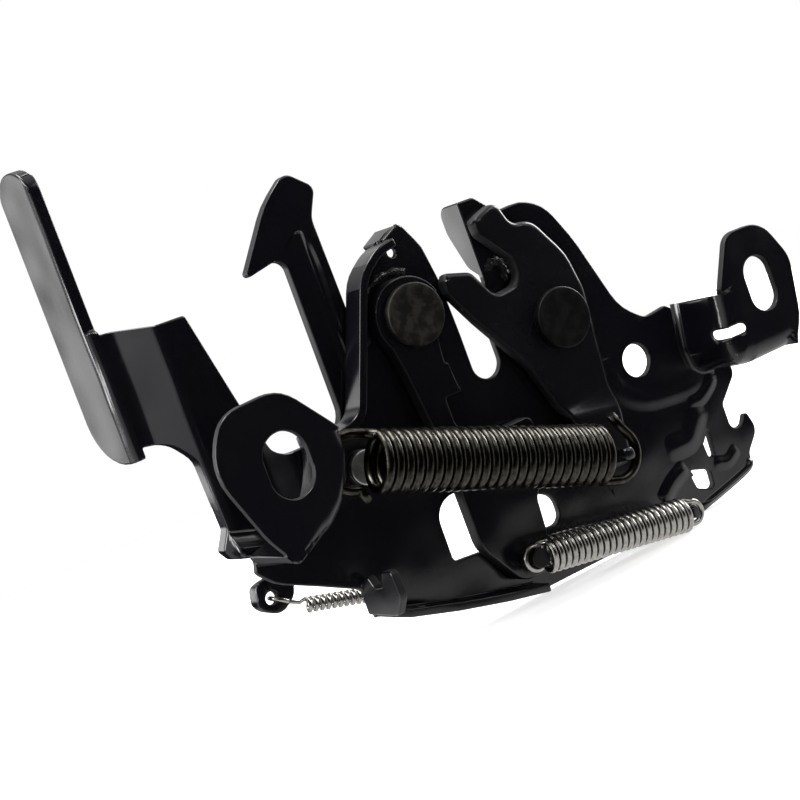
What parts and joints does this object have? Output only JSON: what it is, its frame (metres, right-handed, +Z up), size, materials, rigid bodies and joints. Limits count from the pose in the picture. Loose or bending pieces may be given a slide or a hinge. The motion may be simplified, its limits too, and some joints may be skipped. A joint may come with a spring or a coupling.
{
  "type": "bonnet latch",
  "caption": "Vehicle bonnet latch: a stamped base plate with mounting ears carries a spring-loaded claw and pawl that trap a striker, and a safety hook lever with a finger paddle.",
  "frame": {"origin": "seat of the latched striker, on the middle of the striker slot in the front face of the base plate", "axes": "+X from the left ear to the right ear, +Z up along the slot, the way the striker leaves, +Y from the front of the plate to the back"},
  "size_m": [0.1832, 0.0566, 0.1459],
  "materials": {
    "black_sheet": "gloss black dip coat",
    "claw_black": "satin black",
    "rivet_dark": "satin dark",
    "rivet_brown": "matt",
    "bush_steel": "turned",
    "washer_steel": "dull",
    "zinc_steel": "zinc plated",
    "spring_dark": "oil tempered",
    "spring_bright": "zinc plated"
  },
  "bodies": {
    "base": {"base_plate": "black_sheet", "claw_rivet": "rivet_dark", "claw_bush": "bush_steel", "claw_washer": "washer_steel", "claw_wave_washer": "washer_steel", "pawl_rivet": "rivet_brown", "pawl_bush": "bush_steel", "pawl_washer": "washer_steel", "pawl_wave_washer": "washer_steel", "hook_rivet": "zinc_steel", "hook_bush": "bush_steel", "hook_washer": "washer_steel", "hook_wave_washer": "washer_steel", "main_spring": "spring_dark", "pawl_spring": "spring_bright", "hook_spring": "spring_bright"},
    "claw": {"claw": "claw_black"},
    "pawl": {"pawl": "black_sheet", "cable_stud": "rivet_dark"},
    "hook": {"safety_hook": "black_sheet"}
  },
  "joints": [
    {"name": "claw_pivot", "type": "hinge", "parent": "base", "child": "claw", "pos_m": [0.022, 0, 0], "axis": [0, -1, 0], "range_deg": [0, 54], "stiffness_Nm_per_rad": 1.5, "springref_deg": -17.19, "deforming": ["main_spring"]},
    {"name": "pawl_pivot", "type": "hinge", "parent": "base", "child": "pawl", "pos_m": [-0.0188, 0, 0.0151], "axis": [0, -1, 0], "range_deg": [-5, 6], "stiffness_Nm_per_rad": 1, "deforming": ["pawl_spring"]},
    {"name": "hook_pivot", "type": "hinge", "parent": "base", "child": "hook", "pos_m": [-0.043, 0, -0.0156], "axis": [0, 1, 0], "range_deg": [0, 16], "stiffness_Nm_per_rad": 1.5, "springref_deg": -17.19, "deforming": ["hook_spring"]}
  ]
}
